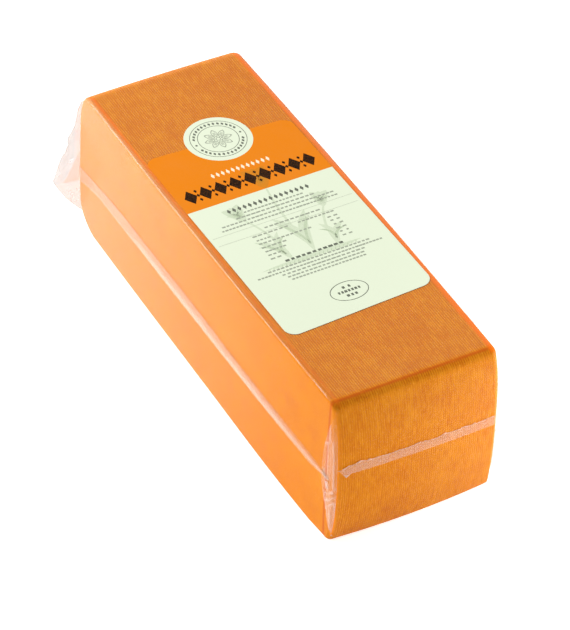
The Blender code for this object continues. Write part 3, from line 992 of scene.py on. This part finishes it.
def labelOutline():
    inW = label["width"] / 2 - label["corner"]
    inL = label["length"] / 2 - label["corner"]
    arcs = (
        (-inW, -inL, label["corner"], 180, 270, 12, label["lowSkew"]),
        (inW, -inL, label["corner"], 270, 360, 12, label["lowSkew"]),
        (inW, inL, label["corner"], 0, 90, 12, label["highSkew"]),
        (label["badgeShift"], label["length"] / 2, label["badgeRadius"], 0, 180, 60, 0.0),
        (-inW, inL, label["corner"], 90, 180, 12, label["highSkew"]),
    )
    points = []
    for middle, v, radius, start, stop, faces, skew in arcs:
        for i in range(faces + 1):
            turn = math.radians(mix(start, stop, i / faces))
            u = middle + radius * math.cos(turn)
            points.append((u, v + radius * math.sin(turn) + skew * u))
    return points


def labelCoordinates(bench):  # the label's own u and v, from object coordinates
    place = bench.add("ShaderNodeTexCoord", output=3)
    settings = {"vector_type": "TEXTURE"}
    sockets = {"Vector": place, "Location": (*label["middle"], 0.0), "Rotation": (0.0, 0.0, label["turn"])}
    own = bench.add("ShaderNodeMapping", settings, sockets)
    parts = [bench.add("ShaderNodeSeparateXYZ", None, {0: own}, i) for i in range(3)]
    return own, parts[0], parts[1]


def onOrange(bench, u, v):  # 1 on the orange field and 0 on the green one and the badge
    badgeV = v - label["length"] / 2
    badgeU = u - label["badgeShift"]
    fromBadge = bench.function("SQRT", badgeU * badgeU + badgeV * badgeV)
    soft = 0.00003
    field = bench.step(v, label["fieldEdge"] - soft, label["fieldEdge"] + soft)
    return field * bench.step(fromBadge, label["badgeRadius"] - soft, label["badgeRadius"] + soft)


def paperMaterial():
    sockets = {"Specular IOR Level": 0.06, "Coat Weight": 0.01, "Coat Roughness": 0.30}
    material, bench, shader = newMaterial("labelPaper", sockets)
    own, u, v = labelCoordinates(bench)
    colour = bench.colours(onOrange(bench, u, v), label["green"], label["orange"])
    fibre = bench.noise(own, 700.0, 3.0, 0.6)
    cloud = bench.noise(own, 40.0, 3.0, 0.6)
    shade = 0.10 * (fibre - 0.5) + 0.10 * (cloud - 0.5)
    colour = bench.colours(0.008 + 0.4 * shade, colour, label["dust"])
    bench.plug(shader.inputs["Base Color"], colour)
    bench.plug(shader.inputs["Roughness"], 0.46 + 0.15 * (fibre - 0.5))
    bump = bench.add("ShaderNodeBump", None, {"Strength": 0.12, "Distance": 0.0001, "Height": fibre})
    bench.plug(shader.inputs["Normal"], bump)
    return material


def makeLabel():
    material = paperMaterial()
    outline = labelOutline()
    points = [labelPlace(u, v, -label["thick"]) for u, v in outline] + [labelPlace(u, v) for u, v in outline]
    count = len(outline)
    faces = [tuple(range(count))[::-1], tuple(range(count, 2 * count))]
    faces += [(i, (i + 1) % count, (i + 1) % count + count, i + count) for i in range(count)]
    piece = newPiece("labelSheet", points, faces, material, False)
    bevel = piece.modifiers.new("roundedRim", "BEVEL")
    bevel.width = label["bevel"]
    bevel.segments = 2
    bevel.limit_method = "ANGLE"
    graph = bpy.context.evaluated_depsgraph_get()
    rounded = bpy.data.meshes.new_from_object(piece.evaluated_get(graph))
    piece.modifiers.remove(bevel)
    piece.data = rounded
    finishPiece(piece, "label", "label")


makeLabel()


# The print on the label, in thin raised ink. Generic ornament stands where the label has words and a drawing.
# Places are in millimetres from the label's middle: height on the label, then start and end or lengths.
ink = {
    "sink": 0.02,  # into the paper
    "stand": 0.03,  # over it
    "tintStand": 0.008,
    "veinStand": 0.020,
    "layer": 0.0004,  # each tint shape lies this much over the one before
    "black": linear(14, 8, 4),
    "grey": linear(84, 88, 78),
    "cream": linear(250, 238, 210),
    "sage": linear(96, 132, 66),
    "title": (43.5, -38.0, 38.0),
    "subtitle": (54.8, -18.0, 17.4),
    "heading": (22.8, -25.0, 25.0),
    "lines": [
        (18.5, -17, 19), (15.3, -23, 24), (12.1, -34, 35), (8.9, -36, 36), (1.5, -13, 20), (-33.4, -30, 32),
        (-36.1, -38, 39), (-38.8, -24, 26), (-41.5, -22, 24), (-44.2, -21, 24),
    ],
    "table": [
        (-2.9, 20, 21), (-6.7, 7, 4), (-9.9, 31, 4), (-13.5, 13, 4), (-17.1, 11, 4), (-20.5, 6, 4), (-23.9, 4, 4),
    ],
    "tableEdges": (-22.7, 26.7),
    "boldLine": (-28.9, -16.3, 17.7),
    "hairlines": (5.5, -1.5),
    "oval": (1.3, -66.5, 11.3, 7.6),
    "ovalMarks": [(-62.9, 3.6), (-66.3, 12.5), (-70.0, 5.0)],
    "badgeRings": (16.5, 12.0),
    "badgeWords": 14.2,
    "tulips": [(-13, -31, -21, 12, -3.0, 0.9), (2, -31, 4, 33, 2.5, 1.15), (16, -31, 25, 4, 3.0, 0.8)],
}


def newPrint():
    return {"points": [], "faces": []}


def addPrism(cut, outline, stand):  # a flat shape of ink
    start, count = len(cut["points"]), len(outline)
    for height in (-ink["sink"], stand):
        cut["points"] += [labelPlace(u / 1000, v / 1000, height / 1000) for u, v in outline]
    low = [start + i for i in range(count)]
    high = [start + count + i for i in range(count)]
    cut["faces"] += [tuple(low[::-1]), tuple(high)]
    cut["faces"] += [(low[i], low[(i + 1) % count], high[(i + 1) % count], high[i]) for i in range(count)]


def addRing(cut, outer, inner, stand):  # a line of ink round an outline
    start, count = len(cut["points"]), len(outer)
    for outline, height in ((outer, -ink["sink"]), (outer, stand), (inner, stand), (inner, -ink["sink"])):
        cut["points"] += [labelPlace(u / 1000, v / 1000, height / 1000) for u, v in outline]
    for k in range(4):
        low, high = start + k * count, start + (k + 1) % 4 * count
        for i in range(count):
            after = (i + 1) % count
            cut["faces"].append((low + i, low + after, high + after, high + i))


def ellipse(u, v, wide, tall, corners=72):
    turns = [math.tau * i / corners for i in range(corners)]
    return [(u + wide * math.cos(turn), v + tall * math.sin(turn)) for turn in turns]


def arc(radius, start, stop, steps=40):  # a line round the badge's middle
    turns = [math.radians(mix(start, stop, i / steps)) for i in range(steps + 1)]
    shift, middle = label["badgeShift"] * 1000, label["length"] * 500
    return [(shift + radius * math.cos(turn), middle + radius * math.sin(turn)) for turn in turns]


def blade(root, tip, wide, bow=0.0, power=0.8, steps=16):  # a leaf shape from root to tip, bowed to its left
    root, tip = Vector(root), Vector(tip)
    along = tip - root
    side = Vector((-along.y, along.x)).normalized()
    leftEdge, rightEdge = [], []
    for i in range(steps + 1):
        t = i / steps
        middle = root + along * t + side * (bow * 4 * t * (1 - t))
        half = side * (wide / 2 * math.sin(math.pi * t) ** power)
        leftEdge.append(tuple(middle + half))
        rightEdge.append(tuple(middle - half))
    return leftEdge + rightEdge[-2:0:-1]


def rowTree():  # small flat marks spaced along lines
    inputs = {"Geometry": "NodeSocketGeometry", "Material": "NodeSocketMaterial"}
    inputs.update(dict.fromkeys(("Pitch", "Narrowest", "Widest", "Tall", "Thick", "Turn"), "NodeSocketFloat"))
    inputs.update({"Lozenges": "NodeSocketBool", "Seed": "NodeSocketInt"})
    tree, bench, wires = newGeometryTree("printedRow", inputs)
    lines = bench.add("GeometryNodeMeshToCurve", None, {"Mesh": wires["Geometry"]})
    sockets = {"Curve": lines, "Length": wires["Pitch"]}
    places = bench.add("GeometryNodeResampleCurve", {"mode": "LENGTH"}, sockets)
    bar = bench.add("GeometryNodeMeshCube", None, {"Size": (1.0, 1.0, 1.0)})
    lozenge = bench.add("GeometryNodeMeshCylinder", None, {"Vertices": 4, "Radius": 0.5, "Depth": 1.0})
    sockets = {"Switch": wires["Lozenges"], "False": bar, "True": lozenge}
    mark = bench.add("GeometryNodeSwitch", {"input_type": "GEOMETRY"}, sockets)
    sockets = {2: wires["Narrowest"], 3: wires["Widest"], "Seed": wires["Seed"]}
    wide = bench.add("FunctionNodeRandomValue", None, sockets, 1)
    size = bench.add("ShaderNodeCombineXYZ", None, {0: wide, 1: wires["Tall"], 2: wires["Thick"]})
    spin = bench.add("ShaderNodeCombineXYZ", None, {2: wires["Turn"]})
    sockets = {"Points": places, "Instance": mark, "Rotation": spin, "Scale": size}
    marks = bench.add("GeometryNodeInstanceOnPoints", None, sockets)
    endTree(bench, marks, wires["Material"])
    return tree


def addMarks(cut, lines, material, pitch, widths, tall, lozenges=False, seed=1):
    points, edges = [], []
    for line in lines:
        start = len(points)
        points += [labelPlace(u / 1000, v / 1000, (ink["stand"] - ink["sink"]) / 2000) for u, v in line]
        edges += [(start + i, start + i + 1) for i in range(len(line) - 1)]
    mesh = bpy.data.meshes.new("rows")
    mesh.from_pydata([tuple(point) for point in points], edges, [])
    rows = bpy.data.objects.new("rows", mesh)
    bpy.context.scene.collection.objects.link(rows)
    values = {
        "Pitch": pitch / 1000,
        "Narrowest": widths[0] / 1000,
        "Widest": widths[1] / 1000,
        "Tall": tall / 1000,
        "Thick": (ink["stand"] + ink["sink"]) / 1000,
        "Turn": label["turn"],
        "Lozenges": lozenges,
        "Seed": seed,
        "Material": material,
    }
    marks = runTree(rows, printRows, values)
    start = len(cut["points"])
    cut["points"] += [vertex.co.copy() for vertex in marks.vertices]
    cut["faces"] += [tuple(start + index for index in face.vertices) for face in marks.polygons]
    bpy.data.objects.remove(rows)


def inkMaterial(name, colour, cover):  # ink that lets some of the paper's colour through
    material, bench, shader = newMaterial(name, {"Specular IOR Level": 0.05})
    own, u, v = labelCoordinates(bench)
    grain = bench.noise(own, 2400.0)
    paper = bench.colours(onOrange(bench, u, v), label["green"], label["orange"])
    bench.plug(shader.inputs["Base Color"], bench.colours(cover + 0.4 * (grain - 0.5), paper, ink[colour]))
    bench.plug(shader.inputs["Roughness"], 0.44 + 0.12 * grain)
    return material


def finishPrint(name, cut, material):
    piece = newPiece(name, cut["points"], cut["faces"], material, False)
    faceOutward(piece)
    finishPiece(piece, "label", "label")


def makeTitle():  # a band of large lozenges with stacks of small ones between them
    material = inkMaterial("titleInk", "black", 0.97)
    cut = newPrint()
    v, start, end = ink["title"]
    pitch = (end - start) / 8
    addMarks(cut, [[(start, v), (end, v)]], material, pitch * 0.999, (7.8, 7.8), 12.4, True)
    small = [[(start + pitch / 2, v + up), (end - pitch / 2, v + up)] for up in (-4.0, 0.0, 4.0)]
    addMarks(cut, small, material, pitch * 0.999, (2.0, 2.0), 3.0, True)
    finishPrint("labelTitle", cut, material)
    material = inkMaterial("subtitleInk", "cream", 0.92)
    cut = newPrint()
    v, start, end = ink["subtitle"]
    addMarks(cut, [[(start, v), (end, v)]], material, 3.2, (2.1, 2.1), 4.4, True)
    finishPrint("labelSubtitle", cut, material)


def makeHeadings():  # the heading, the bold line, the badge and the oval mark
    material = inkMaterial("headingInk", "grey", 0.92)
    cut = newPrint()
    v, start, end = ink["heading"]
    addMarks(cut, [[(start, v), (end, v)]], material, 3.3, (2.3, 2.3), 4.2, True)
    v, start, end = ink["boldLine"]
    addMarks(cut, [[(start, v), (end, v)]], material, 3.1, (1.9, 2.8), 1.7, False, 4)
    arcs = [arc(ink["badgeWords"], 22, 158), arc(ink["badgeWords"], 202, 338)]
    addMarks(cut, arcs, material, 2.5, (1.7, 1.7), 2.7, True)
    shift, middle = label["badgeShift"] * 1000, label["length"] * 500
    for u in (shift - ink["badgeWords"], shift + ink["badgeWords"]):
        addPrism(cut, ellipse(u, middle, 0.7, 0.7, 16), ink["stand"])
    for radius in ink["badgeRings"]:
        outer = ellipse(shift, middle, radius + 0.17, radius + 0.17, 96)
        addRing(cut, outer, ellipse(shift, middle, radius - 0.17, radius - 0.17, 96), ink["stand"])
    u, v, wide, tall = ink["oval"]
    addRing(cut, ellipse(u, v, wide + 0.22, tall + 0.22), ellipse(u, v, wide - 0.22, tall - 0.22), ink["stand"])
    marks = [[(u - long / 2, height), (u + long / 2, height)] for height, long in ink["ovalMarks"]]
    addMarks(cut, marks, material, 2.0, (1.1, 1.7), 1.9, False, 7)
    finishPrint("labelHeadings", cut, material)


def makeWords():  # the lines of small print, the table and the flower in the badge
    material = inkMaterial("wordInk", "grey", 0.62)
    cut = newPrint()
    lines = [[(start, v), (end, v)] for v, start, end in ink["lines"]]
    first, last = ink["tableEdges"]
    for v, name, value in ink["table"]:
        lines += [[(first, v), (first + name, v)], [(last - value, v), (last, v)]]
    for k, pitch in enumerate((2.2, 3.1, 2.6)):
        addMarks(cut, lines[k::3], material, pitch, (pitch * 0.6, pitch * 0.92), 1.1, False, 2 + k)
    for v in ink["hairlines"]:
        half = label["width"] * 500 - 2
        addPrism(cut, [(-half, v - 0.06), (half, v - 0.06), (half, v + 0.06), (-half, v + 0.06)], ink["stand"])
    centre = Vector((label["badgeShift"] * 1000, label["length"] * 500))
    for i in range(8):
        turn = math.tau * i / 8
        way = Vector((math.cos(turn), math.sin(turn)))
        outer = blade(centre + way * 1.8, centre + way * 8.8, 3.6)
        addRing(cut, outer, blade(centre + way * 2.5, centre + way * 8.0, 2.9), ink["stand"])
        for stretch in (0.0, 0.6, -0.6):
            side = Vector((-way.y, way.x)) * stretch
            vein = blade(centre + way * 3.4 + side, centre + way * 6.4 + side, 0.28, 0.0, 0.3)
            addPrism(cut, vein, ink["stand"])
    addRing(cut, ellipse(*centre, 1.5, 1.5, 32), ellipse(*centre, 1.1, 1.1, 32), ink["stand"])
    finishPrint("labelWords", cut, material)


def tulipShapes(footU, footV, headU, headV, bow, size):  # flat shapes, and fine veins that lie on them
    foot, head = Vector((footU, footV)), Vector((headU, headV))
    up = (head - foot).normalized()
    side = Vector((-up.y, up.x))
    shapes = [blade(foot, head, 1.5, bow, 0.12, 24)]
    veins = []
    for lean in (-1, 1):
        start = foot + (head - foot) * 0.06
        tip = start + up * (head - foot).length * 0.52 + side * lean * 9 * size
        shapes.append(blade(start, tip, 5.2 * size, -lean * 3.0, 0.8, 24))
        for shift in (-0.9, 0.0, 0.9):
            low = start + up * 4 + side * shift * 0.4
            veins.append(blade(low, tip - up * 5 + side * shift, 0.4, -lean * 2.4, 0.3))
    for lean in (-1, 1, 0):
        tip = head + up * 15.5 * size + side * lean * 6.0 * size
        shapes.append(blade(head - up * 1.2, tip, 8.6 * size, -lean * 2.6 * size, 0.7, 24))
        for k in range(-2, 3):
            start = head + up * (2.2 + abs(k)) * size + side * (lean * 1.2 + k * 0.8) * size
            end = head + up * (12.0 - 1.4 * abs(k)) * size + side * (lean * 4.4 + k * 1.1) * size
            veins.append(blade(start, end, 0.36, -lean * 1.2 * size, 0.3))
    return shapes, veins


def makeDrawing():  # pale tulips behind the words
    tint, veins = newPrint(), newPrint()
    stand = ink["tintStand"]
    for tulip in ink["tulips"]:
        shapes, lines = tulipShapes(*tulip)
        for shape in shapes:
            addPrism(tint, shape, stand)
            stand += ink["layer"]
        for line in lines:
            addPrism(veins, line, ink["veinStand"])
    for k in range(4):  # the ground under them
        start, end = (-34 + 7 * k, -31.5 - 0.5 * k), (30 - 3 * k, -30.8 - 0.5 * k)
        addPrism(tint, blade(start, end, 1.5, 0.9, 0.4, 24), stand)
        stand += ink["layer"]
    for k in range(22):
        start = -30 + 2.6 * k
        addPrism(veins, blade((start, -33.6), (start + 1.6, -30.6), 0.36, 0.0, 0.3, 6), ink["veinStand"])
    finishPrint("labelTint", tint, inkMaterial("tintInk", "sage", 0.20))
    finishPrint("labelVeins", veins, inkMaterial("veinInk", "sage", 0.42))


printRows = rowTree()
makeTitle()
makeHeadings()
makeWords()
makeDrawing()


# The floor, the lights and the camera.
studio = {
    "floor": linear(245, 245, 245),
    "floorGlow": 0.56,
    "floorLight": 0.58,  # share of the glow that lights the block
    "behind": 0.97,  # brightness of the room behind the block
    "before": 0.30,  # and of the room on the camera's side
    "lights": [  # name, place, aim, width, power
        ("key", (-0.96, 1.05, 0.79), (0.0, 0.0, 0.05), 0.8, 28.0),
        ("side", (0.28, -0.27, 0.11), (0.02, -0.157, 0.05), 0.18, 1.15),
    ],
    "cameraPlace": (-0.76368, -1.33650, 1.36690),
    "cameraAim": (-0.01052, -0.02446, 0.04900),
    "cameraRoll": 2.085,
    "lens": 204.06,
}


def makeRoom():
    world = bpy.data.worlds.new("room")
    bpy.context.scene.world = world
    world.use_nodes = True
    bench = Bench(world.node_tree)
    direction = bench.add("ShaderNodeTexCoord", output=0)
    back = bench.add("ShaderNodeSeparateXYZ", None, {0: direction}, 1)
    strength = studio["before"] + (studio["behind"] - studio["before"]) * bench.step(back, -0.5, 0.5)
    background = world.node_tree.nodes["Background"]
    background.inputs["Color"].default_value = (1, 1, 1, 1)
    bench.plug(background.inputs["Strength"], strength)


def makeStudio():
    material, bench, shader = newMaterial("floor", {"Roughness": 0.8, "Base Color": studio["floor"]})
    shader.inputs["Emission Strength"].default_value = studio["floorGlow"]
    seen = bench.add("ShaderNodeLightPath")  # a little brighter to the eye than as a light
    dim = studio["floorLight"]
    bench.plug(shader.inputs["Emission Color"], bench.colours(seen, (dim, dim, dim, 1), (1, 1, 1, 1)))
    size = 4.0
    corners = [(-size, -size, 0), (size, -size, 0), (size, size, 0), (-size, size, 0)]
    floor = newPiece("floor", corners, [(0, 1, 2, 3)], material, False)
    makeRoom()
    for name, place, aim, width, power in studio["lights"]:
        lamp = bpy.data.lights.new(name, "AREA")
        lamp.size = width
        lamp.energy = power
        light = bpy.data.objects.new(name, lamp)
        light.location = place
        light.rotation_euler = (Vector(aim) - Vector(place)).to_track_quat("-Z", "Y").to_euler()
        light.visible_camera = False
        bpy.context.scene.collection.objects.link(light)
    camera = bpy.data.objects.new("camera", bpy.data.cameras.new("camera"))
    camera.data.lens = studio["lens"]
    camera.data.sensor_width = 36.0
    camera.location = studio["cameraPlace"]
    view = (Vector(studio["cameraAim"]) - Vector(studio["cameraPlace"])).to_track_quat("-Z", "Y")
    roll = Matrix.Rotation(math.radians(studio["cameraRoll"]), 3, "Z")
    camera.rotation_euler = (view.to_matrix() @ roll).to_euler()
    bpy.context.scene.collection.objects.link(camera)
    bpy.context.scene.camera = camera
    bpy.context.scene.view_settings.view_transform = "Standard"


makeStudio()
